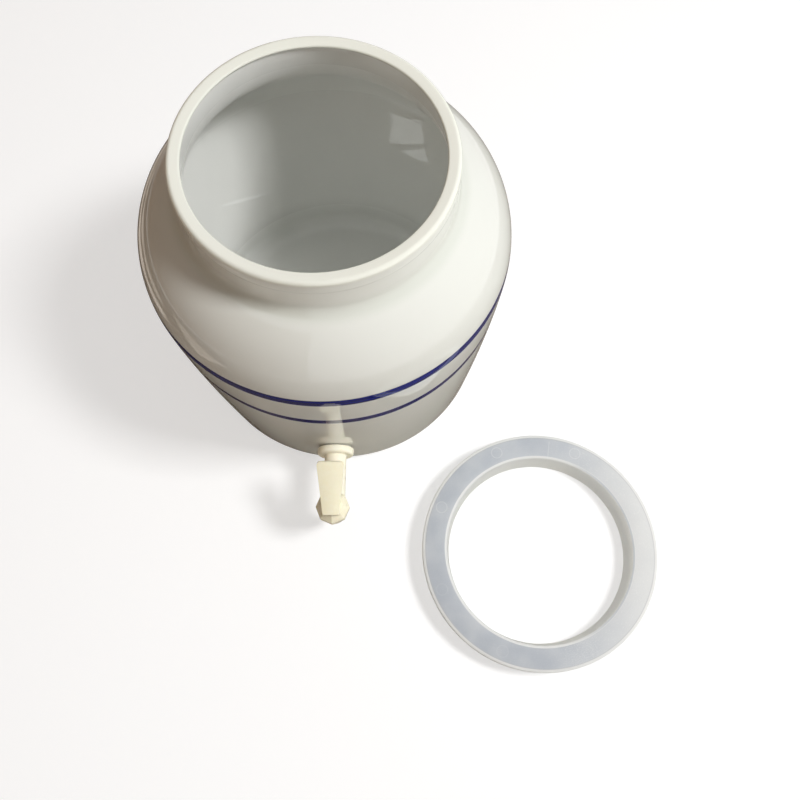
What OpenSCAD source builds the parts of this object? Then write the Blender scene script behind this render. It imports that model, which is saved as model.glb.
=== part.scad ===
// Ceramic water crock with a lever tap and a loose bottle ring.
// Millimetres, +Z up, origin at the centre of the foot on the table, tap towards -Y.

/* [Crock] */
// Height of the crock from the table to the top of the rim
crock_h = 288; // [280:1:310]
// Largest diameter, at the belly
belly_d = 280; // [270:1:300]
// Height of the neck, from the top of the shoulder's curve to the top of the rim
neck_h = 35; // [32:1:42]
// Diameter just above the rounded heel
heel_d = 256; // [244:1:264]
// Radius of the rounded heel
heel_r = 10; // [6:1:14]
// How the lower wall bends: 1 is a straight cone, 2 is a full bow
wall_bow = 1.45; // [1:0.05:2]
// Radial reach of the shoulder, from the belly inwards
shoulder_w = 60; // [56:1:64]
// Rise of the shoulder above the belly
shoulder_h = 66; // [62:1:70]
// Outer diameter of the neck
neck_d = 191; // [188:0.5:191.5]
// Radial reach of the cove between neck and shoulder
neck_cove = 7; // [4:0.5:10]
// Outer diameter of the rim
rim_d = 192; // [192:1:200]
// Height of the rim's thickened band
rim_h = 14; // [12:1:18]
// Outer edge radius of the rim
rim_round = 3.5; // [2:0.5:5]
// Inner edge radius of the rim
rim_in_round = 2; // [1:0.5:3]
// Diameter of the mouth
mouth_d = 174; // [168:1:178]
// Radius of the flare inside the neck, below the mouth
mouth_flare = 50; // [44:1:60]
// Radial reach from the mouth to the inside of the shoulder
mouth_reach = 13.5; // [12.5:0.5:15]
// Radius of the rounded edge between that flare and the shoulder
mouth_edge = 16; // [13:0.5:18]
// Thickness of the side wall
wall = 8; // [6:0.5:10]
// Thickness of the wall at the neck
neck_wall = 4.5; // [4:0.5:6]
// Height of the inside floor above the table
floor_z = 12; // [10:1:16]
// Radius of the inside corner round the floor
floor_r = 16; // [8:1:22]
// Diameter of the recess under the foot
foot_recess_d = 210; // [180:1:220]
// Depth of the recess under the foot
foot_recess = 3; // [1:0.5:4]
// Diameter of the hole for the tap
tap_hole_d = 22; // [21:0.5:24]

/* [Bottle ring] */
// Place of the loose ring beside the crock, left to right
ring_x = 178; // [170:0.5:200]
// Place of the loose ring beside the crock, front to back
ring_y = -214.5; // [-240:0.5:-210]
// Height of the ring, from the end of the collar to the top of the flange
ring_h = 23; // [18:1:32]
// Thickness of the flange
ring_flange_t = 3; // [2:0.5:4]
// Wall thickness of the collar and the outer lip
ring_wall = 2.6; // [2:0.2:3.4]
// How far the collar draws in towards its end
ring_taper = 2.2; // [1:0.2:6]
// Gap between the collar and the mouth when the ring is in use
ring_mouth_gap = 3.4; // [1:0.2:5]
// Gap between the lip and the rim when the ring is in use
ring_rim_gap = 4.4; // [1:0.2:6]
// Depth of the outer lip below the top of the flange
ring_lip = 6.5; // [5:0.5:9]

/* [Tap body] */
// Height of the tap's shank above the table
tap_z = 55; // [50:1:66]
// Diameter of the shank
shank_d = 19; // [17:0.5:20]
// Bore of the shank
shank_bore = 10; // [7:0.5:12]
// How far the shank stands past its nut
shank_past_nut = 6; // [3:0.5:12]
// Diameter of the flange
flange_d = 31; // [28:0.5:36]
// Thickness of the flange
flange_t = 6; // [5:0.5:7]
// Edge radius of the flange's front
flange_round = 2.4; // [1:0.1:3]
// Depth of the washer's seat in the back of the flange
flange_recess = 1; // [0.6:0.2:2]
// Gap between the flange's top edge and the wall
flange_gap = 0.4; // [0.3:0.1:1.5]
// Diameter of the tube between flange and barrel
tube_d = 18.5; // [16:0.5:20]
// Length of the tube, from the flange to the barrel's axis
tube_len = 47.5; // [42:0.5:56]
// Diameter of the barrel under the bonnet
barrel_d = 22; // [21.8:0.2:23]
// Diameter of the barrel at its foot
barrel_foot_d = 18.8; // [18.6:0.1:19.6]
// Diameter of the barrel's threaded top
barrel_thread_d = 21; // [20.5:0.1:21.5]
// Height of the barrel's threaded top
barrel_thread_h = 4.8; // [4:0.2:5.4]
// Gap between the tube and the bonnet above it
bonnet_gap = 0.35; // [0.3:0.05:1]
// Bottom of the barrel below the shank's axis
barrel_bottom = 12; // [11.5:0.5:14]
// Bore of the barrel
chamber_d = 16; // [15.6:0.1:16.8]
// Valve floor below the shank's axis
valve_floor = 9; // [8.6:0.2:9.6]
// Height of the raised valve seat
valve_lip = 1.2; // [0.6:0.1:1.6]
// Bore of the spout
spout_bore = 9; // [8:0.2:9.4]
// End of the spout below the shank's axis
spout_end = 25; // [22:1:32]
// Outer diameter of the spout at its end
spout_d = 12; // [11.4:0.2:14]

/* [Tap fasteners and washers] */
// Thickness of the inner rubber washer at the middle of its face
washer_t = 2.5; // [2.2:0.1:4]
// Outer diameter of the rubber washers
washer_d = 26; // [25:0.5:27]
// Slack of the washers on the shank, in radius
washer_slack = 0.2; // [0.1:0.05:0.5]
// Width of the nut across its flats
nut_af = 28; // [26:0.5:32]
// Thickness of the nut
nut_t = 9; // [6:0.5:12]
// Slack of the threads, in radius
thread_slack = 0.1; // [0.05:0.05:0.15]

/* [Bonnet and valve] */
// Diameter of the bonnet across its corners
bonnet_d = 28; // [27:0.2:30]
// Height of the bonnet's upright faces
bonnet_skirt = 5.4; // [5:0.2:6.4]
// Height of the bonnet's sloping faces
bonnet_slope = 9; // [8.6:0.2:10]
// Diameter of the bonnet's flat top across its corners
bonnet_top_d = 17; // [15:0.5:19]
// Diameter of the stem
stem_d = 6; // [5.4:0.1:6.4]
// Running gap round the stem, in radius
stem_slack = 0.15; // [0.1:0.05:0.25]
// Thickness of the flat tongue at the top of the stem
tongue_t = 5; // [4.4:0.1:5.2]
// Diameter of the head at the foot of the stem
stem_head_d = 8; // [7.4:0.1:8.4]
// Height of the head at the foot of the stem
stem_head_h = 3; // [2:0.2:3.4]
// Diameter of the plug of the seat cup
plug_d = 12.4; // [11.6:0.2:13]
// Wall of the seat cup
cup_wall = 1.2; // [0.8:0.1:1.4]
// Thickness of the seat cup's clamped rim
cup_rim_t = 2; // [1.4:0.1:2.4]

/* [Lever] */
// Lean of the closed lever from upright, back towards the crock
lever_lean = 60; // [54:1:66]
// Length of the lever above its pin
lever_len = 36; // [32:0.5:44]
// Width of the lever at its wide top
lever_top_w = 21.5; // [18:0.5:24]
// Width of the lever at its narrow foot
lever_foot_w = 13; // [12:0.1:14]
// Depth of the lever at its top
lever_top_t = 3.4; // [3:0.2:5]
// Distance from the pin to the front face
lever_front = 5.45; // [5.2:0.05:5.7]
// Thickness of the lever's front plate and side walls
lever_wall = 2; // [1.6:0.1:2.2]
// Corner radius of the lever's top
lever_round = 3; // [1:0.5:5]
// Full swing of the lever, in degrees
lever_swing = 40; // [34:1:41]
// Rise of the stem for each radian of swing
stem_rise = 5.3; // [5:0.1:5.6]
// Height of the pin above the bonnet
pin_rise = 5; // [4.8:0.1:5.4]
// Diameter of the pin
pin_d = 2.6; // [2:0.1:2.8]
// Running gap round the pin, in radius
pin_slack = 0.05; // [0.02:0.01:0.1]
// Gap between the lever's heel and the bonnet
heel_gap = 0.25; // [0.2:0.05:0.4]
// Gap on each side of the stem's tongue
tongue_gap = 0.3; // [0.2:0.05:0.4]

/* [Hidden] */
$fn = 96;
// Spare length of a cut, so that it runs clear of the face it opens
cut = 1;
// Steps along the lower wall and along the shoulder, and facets round the crock
wall_steps = 20;
shoulder_steps = 16;
crock_facets = 360;

glaze_white = "#ecebe3";
tap_cream = "#f2e7c9";
ring_grey = "#c9ced6";
rubber_grey = "#8d8b85";
silicone_white = "#e6e4dc";
steel_grey = "#b4b6ba";

// Radii of the crock
belly_r = belly_d / 2;
heel_out = heel_d / 2;
rim_r = rim_d / 2;
neck_r = neck_d / 2;
mouth_r = mouth_d / 2;
shoulder_r = belly_r - shoulder_w;

// The belly lies as far below the rim as the neck and the shoulder reach
belly_z = crock_h - neck_h - shoulder_h;

// Points on a circle about [x, z], from angle a to angle b
function arc(x, z, r, a, b, steps = 8) =
    [for (i = [0:steps]) let (t = a + (b - a) * i / steps) [x + r * cos(t), z + r * sin(t)]];

// Outside radius of the wall below the belly, at height z
function wall_radius(z) =
    belly_r - (belly_r - heel_out) * pow((belly_z - z) / (belly_z - heel_r), wall_bow);

// Lower wall from height z to the belly, drawn in by inset
function lower_wall(z, inset) =
    [for (i = [0:wall_steps]) let (h = z + (belly_z - z) * i / wall_steps) [wall_radius(h) - inset, h]];

// The shoulder is a quarter ellipse above the belly, drawn in by w on its reach and by h on its rise
function shoulder_z(r, w, h) =
    belly_z + (shoulder_h - h) * sqrt(1 - pow((r - shoulder_r) / (shoulder_w - w), 2));
function shoulder_slope(r, w, h) =
    atan(pow((shoulder_h - h) / (shoulder_w - w), 2) * (r - shoulder_r) / (shoulder_z(r, w, h) - belly_z));
function shoulder(r, w, h) =
    let (sweep = acos((r - shoulder_r) / (shoulder_w - w)))
    [for (i = [1:shoulder_steps]) let (t = sweep * i / shoulder_steps)
        [shoulder_r + (shoulder_w - w) * cos(t), belly_z + (shoulder_h - h) * sin(t)]];

// Outside, a cove turns the shoulder into the upright neck
cove_r = neck_r + neck_cove;
cove_slope = shoulder_slope(cove_r, 0, 0);
cove_bend = neck_cove / (1 - sin(cove_slope));
cove_z = shoulder_z(cove_r, 0, 0) + cove_bend * cos(cove_slope);

outer_profile = concat(
    [[0, 0]],
    arc(heel_out - heel_r, heel_r, heel_r, -90, 0),
    [for (p = lower_wall(heel_r, 0)) if (p[1] > heel_r) p],
    shoulder(cove_r, 0, 0),
    arc(neck_r + cove_bend, cove_z, cove_bend, 270 - cove_slope, 180),
    [[neck_r, crock_h - rim_h], [rim_r, crock_h - rim_h + (rim_r - neck_r) * 2]],
    arc(rim_r - rim_round, crock_h - rim_round, rim_round, 0, 90),
    [[0, crock_h]]);

// Inside, the bore flares downwards and rolls over a rounded edge into the shoulder
edge_r = mouth_r + mouth_reach;
edge_slope = shoulder_slope(edge_r, wall, neck_wall);
edge_x = edge_r + mouth_edge * sin(edge_slope);
edge_z = shoulder_z(edge_r, wall, neck_wall) + mouth_edge * cos(edge_slope);
flare_turn = acos((mouth_r + mouth_flare - edge_x) / (mouth_flare - mouth_edge));
flare_z = edge_z + (mouth_flare - mouth_edge) * sin(flare_turn);

floor_wall_z = floor_z + floor_r;
cavity_profile = concat(
    [[0, floor_z]],
    arc(wall_radius(floor_wall_z) - wall - floor_r, floor_wall_z, floor_r, -90, 0),
    [for (p = lower_wall(floor_wall_z, wall)) if (p[1] > floor_wall_z) p],
    shoulder(edge_r, wall, neck_wall),
    arc(edge_x, edge_z, mouth_edge, 270 - edge_slope, 180 + flare_turn),
    arc(mouth_r + mouth_flare, flare_z, mouth_flare, 180 + flare_turn, 180),
    arc(mouth_r + rim_in_round, crock_h - rim_in_round, rim_in_round, 180, 90),
    [[mouth_r + rim_in_round, crock_h + cut], [0, crock_h + cut]]);

// Places along the tap's shank, as distances from the crock's axis
tap_wall = wall_radius(tap_z);
flange_back = wall_radius(tap_z + flange_d / 2) + flange_gap;
barrel_y = flange_back + flange_t + tube_len;
nut_face = tap_wall - wall - washer_t;
shank_len = flange_back - nut_face + nut_t + shank_past_nut;

// Heights in the barrel, above the shank's axis
bonnet_seat = tube_d / 2 + bonnet_gap;
barrel_top = bonnet_seat + barrel_thread_h;
bonnet_roof = barrel_top + cup_rim_t;
bonnet_top = bonnet_seat + bonnet_skirt + bonnet_slope;
pin_z = bonnet_top + pin_rise;
plug_bottom = valve_lip - valve_floor;
head_bottom = plug_bottom + cup_wall + 0.6;
head_top = head_bottom + stem_head_h;

// The lever's heel: its reach below the pin grows evenly with the swing, so the stem rises evenly
heel_reach = pin_rise - heel_gap;
radian = 180 / PI;
function heel_point(t) =
    (heel_reach + stem_rise * t / radian) * [-sin(t), -cos(t)] + stem_rise * [-cos(t), sin(t)];
// Lean of the front face: a point at height u and distance n in front of the pin
function lever_point(u, n) =
    [u * sin(lever_lean) - n * cos(lever_lean), u * cos(lever_lean) + n * sin(lever_lean)];
function front_of(p) = p[1] * sin(lever_lean) - p[0] * cos(lever_lean);
heel_steps = 24;
heel_curve = [for (i = [0:heel_steps]) let (p = heel_point(lever_swing * i / heel_steps))
                 if (front_of(p) < lever_front) p];
heel_tip = heel_curve[len(heel_curve) - 1];
// The narrow end stands upright over the tip of the heel
lever_foot = (heel_tip[0] + lever_front * cos(lever_lean)) / sin(lever_lean);
heel_back = 4.5;
lever_back = 4.3;
lever_back_u = 10;
heel_reach_max = norm(heel_tip) + tongue_gap;
tongue_r = stem_d / 2 - 0.1;
lever_w_slope = (lever_top_w - lever_foot_w) / (lever_len - lever_foot);
function lever_width(u) = lever_foot_w + lever_w_slope * (u - lever_foot);

module along_shank(distance) {
    translate([0, -distance, tap_z]) rotate([90, 0, 0]) children();
}

module on_barrel() {
    translate([0, -barrel_y, tap_z]) children();
}

module on_pin() {
    on_barrel() translate([0, 0, pin_z]) children();
}

module outer_form() {
    rotate_extrude($fn = crock_facets) polygon(outer_profile);
}

module cavity() {
    rotate_extrude($fn = crock_facets) polygon(cavity_profile);
}

module crock_body() {
    color(glaze_white) difference() {
        outer_form();
        cavity();
        translate([0, 0, -cut]) cylinder(d = foot_recess_d, h = foot_recess + cut);
        along_shank(nut_face) cylinder(d = tap_hole_d, h = flange_back - nut_face);
    }
}

module bottle_ring() {
    collar = mouth_r - ring_mouth_gap;
    edge = rim_r + ring_rim_gap + ring_wall;
    bead = ring_flange_t / 2;
    under = ring_h - ring_flange_t;
    profile = concat(
        [[collar - ring_taper, 0], [collar, under], [edge - ring_wall, under],
         [edge - ring_wall, ring_h - ring_lip], [edge, ring_h - ring_lip]],
        arc(edge - bead, ring_h - bead, bead, 0, 90),
        arc(collar - ring_wall + bead, ring_h - bead, bead, 90, 180),
        [[collar - ring_wall - ring_taper, 0]]);
    color(ring_grey) translate([ring_x, ring_y, 0]) rotate_extrude() polygon(profile);
}

module shank_form() {
    chamfer = 1;
    fillet = 1;
    flange_r = flange_d / 2;
    shank_r = shank_d / 2;
    tube_r = tube_d / 2;
    seat_r = washer_d / 2 + washer_slack;
    edge = 0.6;
    along_shank(flange_back) rotate_extrude() polygon(concat(
        [[0, -shank_len], [shank_r - chamfer, -shank_len], [shank_r, chamfer - shank_len],
         [shank_r, flange_recess], [seat_r, flange_recess], [seat_r, 0]],
        arc(flange_r - edge, edge, edge, -90, 0),
        arc(flange_r - flange_round, flange_t - flange_round, flange_round, 0, 90),
        arc(tube_r + fillet, flange_t + fillet, fillet, 270, 180),
        [[tube_r, flange_t + tube_len], [0, flange_t + tube_len]]));
}

module barrel_form() {
    thread_r = barrel_thread_d / 2;
    barrel_r = barrel_d / 2;
    foot_r = barrel_foot_d / 2;
    spout_r = spout_d / 2;
    corner = 1.6;
    edge = 0.8;
    root_r = min(spout_r + 1.6, foot_r - corner);
    taper_from = 2;
    on_barrel() rotate_extrude() polygon(concat(
        [[0, -spout_end], [spout_r - edge, -spout_end], [spout_r, edge - spout_end],
         [root_r, -barrel_bottom]],
        arc(foot_r - corner, corner - barrel_bottom, corner, -90, 0),
        [[barrel_r, taper_from], [barrel_r, bonnet_seat],
         [thread_r, bonnet_seat], [thread_r, barrel_top], [0, barrel_top]]));
}

module chamber() {
    seat_r = spout_bore / 2 + 1;
    on_barrel() rotate_extrude() polygon([
        [0, -spout_end - cut], [spout_bore / 2, -spout_end - cut], [spout_bore / 2, plug_bottom],
        [seat_r, plug_bottom], [seat_r, -valve_floor], [chamber_d / 2, -valve_floor],
        [chamber_d / 2, barrel_top + cut], [0, barrel_top + cut]]);
}

module tap_body() {
    color(tap_cream) difference() {
        union() {
            shank_form();
            barrel_form();
        }
        chamber();
        along_shank(flange_back - shank_len - cut)
            cylinder(d = shank_bore, h = barrel_y - flange_back + shank_len + cut);
    }
}

module washer_blank(from, to) {
    along_shank(from) difference() {
        cylinder(d = washer_d, h = to - from);
        translate([0, 0, -cut]) cylinder(d = shank_d + 2 * washer_slack, h = to - from + 2 * cut);
    }
}

// Soft washers take up the curve of the wall on one face and lie flat on the other
module outer_washer() {
    color(rubber_grey) difference() {
        washer_blank(tap_wall - washer_t, flange_back + flange_recess);
        outer_form();
    }
}

module inner_washer() {
    color(rubber_grey) intersection() {
        washer_blank(nut_face, tap_wall);
        cavity();
    }
}

module shank_nut() {
    hex_d = nut_af / cos(30);
    face_t = 2;
    color(tap_cream) along_shank(nut_face - nut_t) difference() {
        union() {
            cylinder(d = hex_d, h = nut_t, $fn = 6);
            translate([0, 0, nut_t - face_t]) cylinder(d = nut_af + 1, h = face_t);
        }
        translate([0, 0, -cut]) cylinder(d = shank_d + 2 * thread_slack, h = nut_t + 2 * cut);
    }
}

module bonnet() {
    thread = barrel_thread_d + 2 * thread_slack;
    color(tap_cream) on_barrel() difference() {
        union() {
            translate([0, 0, bonnet_seat]) cylinder(d = bonnet_d, h = bonnet_skirt, $fn = 8);
            translate([0, 0, bonnet_seat + bonnet_skirt])
                cylinder(d1 = bonnet_d, d2 = bonnet_top_d, h = bonnet_slope, $fn = 8);
        }
        translate([0, 0, bonnet_seat - cut])
            cylinder(d = thread, h = bonnet_roof - bonnet_seat + cut);
        translate([0, 0, bonnet_roof - cut])
            cylinder(d = stem_d + 2 * stem_slack, h = bonnet_top - bonnet_roof + 2 * cut);
    }
}

// Silicone bell: a plug on the valve seat, a thin sleeve round the stem and a rim under the bonnet
module seat_cup() {
    slack = stem_slack;
    head_r = stem_head_d / 2 + slack;
    sleeve_in = stem_d / 2 + 1;
    sleeve_out = sleeve_in + cup_wall;
    plug_r = plug_d / 2;
    plug_top = head_top + slack + 1;
    flare = barrel_top - 5;
    flare_out = chamber_d / 2 - 0.6;
    rim_out = barrel_thread_d / 2 - 0.4;
    color(silicone_white) on_barrel() difference() {
        rotate_extrude() polygon([
            [0, plug_bottom], [plug_r - 1, plug_bottom], [plug_r, plug_bottom + 1], [plug_r, plug_top],
            [sleeve_out, plug_top + 1], [sleeve_out, flare], [flare_out, barrel_top - 1],
            [flare_out, barrel_top], [rim_out, barrel_top], [rim_out, bonnet_roof], [0, bonnet_roof]]);
        rotate_extrude() polygon([
            [0, head_bottom - slack], [head_r, head_bottom - slack], [head_r, head_top + slack],
            [stem_d / 2 + slack, head_top + slack], [stem_d / 2 + slack, plug_top + 0.5],
            [sleeve_in, plug_top + 1.5], [sleeve_in, flare + 0.6], [flare_out - cup_wall, barrel_top - 0.4],
            [flare_out - cup_wall, bonnet_roof + cut], [0, bonnet_roof + cut]]);
    }
}

module valve_stem() {
    rod_r = stem_d / 2;
    flats_z = pin_z - heel_reach_max;
    color(tap_cream) on_barrel() difference() {
        union() {
            rotate_extrude() polygon([
                [0, head_bottom], [stem_head_d / 2, head_bottom], [stem_head_d / 2, head_top],
                [rod_r, head_top], [rod_r, flats_z], [0, flats_z]]);
            intersection() {
                translate([0, 0, flats_z]) cylinder(r = rod_r, h = heel_reach_max);
                translate([-tongue_t / 2, -rod_r, flats_z]) cube([tongue_t, stem_d, heel_reach_max]);
            }
            translate([-tongue_t / 2, 0, pin_z]) rotate([0, 90, 0]) cylinder(r = tongue_r, h = tongue_t);
        }
        translate([-stem_d, 0, pin_z]) rotate([0, 90, 0])
            cylinder(d = pin_d + 2 * pin_slack, h = 2 * stem_d);
    }
}

// Side view of the lever, drawn about the pin: heel curve, front face, top and back
module lever_side() {
    polygon(concat(
        [[heel_back, -heel_reach]],
        heel_curve,
        [lever_point(lever_foot, lever_front), lever_point(lever_len, lever_front),
         lever_point(lever_len, lever_front - lever_top_t), lever_point(lever_back_u, -lever_back)]));
}

// Front view of the lever: a taper with a rounded top, drawn in by inset at the sides and the top
module lever_front_view(inset, from) {
    round = lever_round - inset / 2;
    top = lever_len - inset;
    half = lever_width(top) / 2 - inset;
    foot = lever_width(from) / 2 - inset;
    polygon(concat(
        [[-foot, from], [foot, from]],
        arc(half - round, top - round, round, 0, 90),
        arc(round - half, top - round, round, 90, 180)));
}

// Turns a front view to lie along the leaning lever, filled from distance a to distance b behind the front face
module behind_front(a, b) {
    rotate([90 - lever_lean, 0, 0]) translate([0, 0, lever_front - b]) linear_extrude(b - a) children();
}

module lever() {
    deep = 40;
    slot = tongue_t + 2 * tongue_gap;
    bay = heel_reach_max + tongue_gap;
    bay_top = tongue_r + tongue_gap;
    hollow_from = bay_top + lever_wall;
    color(tap_cream) on_pin() difference() {
        intersection() {
            translate([-deep / 2, 0, 0]) rotate([90, 0, 90]) linear_extrude(deep) lever_side();
            behind_front(0, deep) lever_front_view(0, lever_foot - deep / 2);
        }
        behind_front(lever_wall, deep) lever_front_view(lever_wall, hollow_from);
        behind_front(lever_wall, deep) translate([-slot / 2, -bay]) square([slot, bay + bay_top]);
        translate([-deep / 2, 0, 0]) rotate([0, 90, 0]) cylinder(d = pin_d, h = deep);
    }
}

module lever_pin() {
    length = lever_width(0) - 1;
    color(steel_grey) on_pin() translate([-length / 2, 0, 0]) rotate([0, 90, 0])
        cylinder(d = pin_d, h = length);
}

crock_body();
bottle_ring();
tap_body();
outer_washer();
inner_washer();
shank_nut();
bonnet();
seat_cup();
valve_stem();
lever();
lever_pin();
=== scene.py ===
# %% [markdown]
# # A ceramic water crock, dressed in Blender
# The crock stands on a table, and the plastic ring that carries the water bottle lies beside it.
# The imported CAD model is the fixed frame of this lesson: it says where every piece is and what moves.
# Blender adds what the CAD solids lack: fine surfaces, soft edges, glaze, plastic, light and a camera.

# %% Load the frame
import math

import bmesh
import bpy
from mathutils import Matrix, Vector


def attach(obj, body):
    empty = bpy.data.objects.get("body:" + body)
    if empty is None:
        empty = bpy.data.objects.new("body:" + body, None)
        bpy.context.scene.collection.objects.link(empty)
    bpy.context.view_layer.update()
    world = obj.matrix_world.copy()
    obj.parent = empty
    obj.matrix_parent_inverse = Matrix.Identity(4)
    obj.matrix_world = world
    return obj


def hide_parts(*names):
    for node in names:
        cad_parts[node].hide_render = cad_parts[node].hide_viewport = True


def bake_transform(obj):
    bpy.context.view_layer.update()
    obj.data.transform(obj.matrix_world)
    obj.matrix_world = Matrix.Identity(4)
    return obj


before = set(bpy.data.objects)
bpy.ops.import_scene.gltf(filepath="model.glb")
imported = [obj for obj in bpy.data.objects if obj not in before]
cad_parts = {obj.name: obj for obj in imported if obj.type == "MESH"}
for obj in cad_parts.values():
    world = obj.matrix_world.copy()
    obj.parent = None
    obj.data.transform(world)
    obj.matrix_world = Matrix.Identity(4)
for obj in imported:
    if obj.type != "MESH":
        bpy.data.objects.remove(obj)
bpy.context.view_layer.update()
scene = bpy.context.scene
MM = 0.001
print("CAD nodes:", sorted(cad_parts))

# %% [markdown]
# ## Driving sizes
# These are the sizes of the CAD source, in millimetres. Sections and finishes are both worked out from them,
# so a change of glaze sits where the form changes. Measuring the CAD meshes instead would give the same
# numbers, but not their names.

# %% Sizes
BELLY_R, BELLY_Z = 140.0, 187.0
SHOULDER_W, SHOULDER_H = 60.0, 66.0
SHOULDER_R = BELLY_R - SHOULDER_W
HEEL_R, HEEL_ROUND = 128.0, 10.0
WALL_BOW = 1.45
WALL, NECK_WALL = 8.0, 4.5
INSIDE_FLOOR, INSIDE_ROUND = 12.0, 16.0
FOOT_R, FOOT_DEPTH = 105.0, 3.0
NECK_R, RIM_R = 95.5, 96.0
TAP_Z, TAP_HOLE = 55.0, 22.0
BARREL_Y = -187.357
RING = Vector((178.0, -214.5, 0.0)) * MM
RING_R, RING_TOP, RING_UNDER = 103.0, 23.0, 20.0
print("crock", 2 * BELLY_R, "mm wide, ring", 2 * RING_R, "mm wide")

# %% [markdown]
# ## The camera
# The view is taken from a standing person's height, steeply down into the mouth of the crock.
# A look-at rule would lose the slight roll of the view, so the three turns are written out.
# The lens shift is small and only keeps the object where it stands in the frame.

# %% Camera
CAMERA_SPOT = Vector((56.5, -320.9, 720.6)) * MM
CAMERA_YAW, CAMERA_PITCH, CAMERA_ROLL = -4.2, 19.5, 4.1

camera_data = bpy.data.cameras.new("camera")
camera_data.sensor_width = 36
camera_data.lens = 35.856
camera_data.shift_x = -0.0261
camera_data.shift_y = -0.0039
camera = bpy.data.objects.new("camera", camera_data)
camera_turn = (Matrix.Rotation(math.radians(CAMERA_YAW), 4, "Z")
               @ Matrix.Rotation(math.radians(CAMERA_PITCH), 4, "X")
               @ Matrix.Rotation(math.radians(CAMERA_ROLL), 4, "Z"))
camera.matrix_world = Matrix.Translation(CAMERA_SPOT) @ camera_turn
scene.collection.objects.link(camera)
scene.camera = camera
print("camera at", [round(c, 3) for c in camera.location])

# %% [markdown]
# ## Small helpers for node boards
# A finish is a board of nodes. One helper starts a finish, one puts a node on its board and fills or links
# its sockets, and the others are steps of arithmetic with a plain name. Writing every node out would make
# the same boards, but the idea of a finish would be lost among its sockets.

# %% Node helpers
def start_finish(name):
    """A material with its board of nodes and the one shader that ends it."""
    finish = bpy.data.materials.new(name)
    finish.use_nodes = True
    return finish, finish.node_tree, finish.node_tree.nodes["Principled BSDF"]


def fill(board, node, sockets):
    """Fills a node's sockets. A value is a constant or the output it is linked to."""
    for socket, value in sockets.items():
        if isinstance(value, bpy.types.NodeSocket):
            board.links.new(value, node.inputs[socket])
        else:
            node.inputs[socket].default_value = value
    return node


def put(board, kind, sockets=None, **settings):
    """Adds a node with its settings and fills its sockets."""
    node = board.nodes.new(kind)
    for name, value in settings.items():
        setattr(node, name, value)
    return fill(board, node, sockets or {})


def calc(board, operation, *values):
    """One step of arithmetic on a board."""
    return put(board, "ShaderNodeMath", dict(enumerate(values)), operation=operation).outputs[0]


def times(board, product, *others):
    """The product of two or more values."""
    for value in others:
        product = calc(board, "MULTIPLY", product, value)
    return product


def fade(board, value, start, end, low=0.0, high=1.0):
    """Goes smoothly from low to high while the value goes from start to end."""
    return put(board, "ShaderNodeMapRange",
               {"Value": value, "From Min": start, "From Max": end, "To Min": low, "To Max": high},
               interpolation_type="SMOOTHSTEP").outputs["Result"]


def near(board, value, middle, reach, core):
    """1 within a core's distance of the middle, and 0 beyond its reach."""
    return fade(board, calc(board, "ABSOLUTE", calc(board, "SUBTRACT", value, middle)), reach, core)


def between(board, value, start, full, fall, end):
    """Rises from start to full, stays 1, and falls again from fall to end."""
    return times(board, fade(board, value, start, full), fade(board, value, end, fall))


def cloud(board, place, scale, detail=2.0, rough=0.5):
    """A soft noise between 0 and 1 at a scale in waves for each metre."""
    return put(board, "ShaderNodeTexNoise",
               {"Vector": place, "Scale": scale, "Detail": detail, "Roughness": rough}).outputs["Fac"]


def two_clouds(board, place, *layers):
    """The sum of two noises. Each layer has a scale, a detail and a share."""
    return calc(board, "ADD", *(times(board, cloud(board, place, scale, detail), share)
                                for scale, detail, share in layers))


def blend_colour(board, share, first, second):
    """Mixes two colours by a share."""
    first, second = [c if isinstance(c, bpy.types.NodeSocket) else (*c, 1) for c in (first, second)]
    return put(board, "ShaderNodeMix", {0: share, 6: first, 7: second}, data_type="RGBA").outputs[2]


def object_place(board, centre=(0, 0, 0)):
    """Object coordinates about a centre, in metres, with x, y, z and the distance from the upright axis."""
    spot = put(board, "ShaderNodeTexCoord").outputs["Object"]
    spot = put(board, "ShaderNodeMapping", {"Vector": spot, "Location": [-c for c in centre]}).outputs[0]
    x, y, z = put(board, "ShaderNodeSeparateXYZ", {0: spot}).outputs
    return spot, x, y, z, calc(board, "SQRT", calc(board, "ADD", times(board, x, x), times(board, y, y)))


def relief(board, shader, height, depth):
    """Raises the surface by a height between 0 and 1 times a depth in metres."""
    bump = put(board, "ShaderNodeBump", {"Height": height, "Distance": depth, "Strength": 1.0})
    board.links.new(bump.outputs[0], shader.inputs["Normal"])


def seen_directly(board):
    """1 for camera, mirror and glass rays, 0 for light that bounces off a matt surface."""
    path = put(board, "ShaderNodeLightPath").outputs
    seen = calc(board, "MAXIMUM", path["Is Camera Ray"], path["Is Glossy Ray"])
    return calc(board, "MAXIMUM", seen, path["Is Transmission Ray"])


print("node helpers ready")

# %% [markdown]
# ## The floor
# The object lies on a plain pale floor. The floor looks white to the camera and to mirror rays, and it still
# takes the object's shadow: half of its look is paint, which a shadow darkens, and half is a faint glow.
# Far away the glow rises, so the floor meets the white background without an edge. For the light that
# bounces between matt surfaces it is ordinary pale board.

# %% Floor
GROUND_HALF, GROUND_Z = 4.0, -0.0002
BOARD_TONE, PAINT_TONE = (0.91, 0.895, 0.86, 1), (0.50, 0.50, 0.50, 1)

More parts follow.
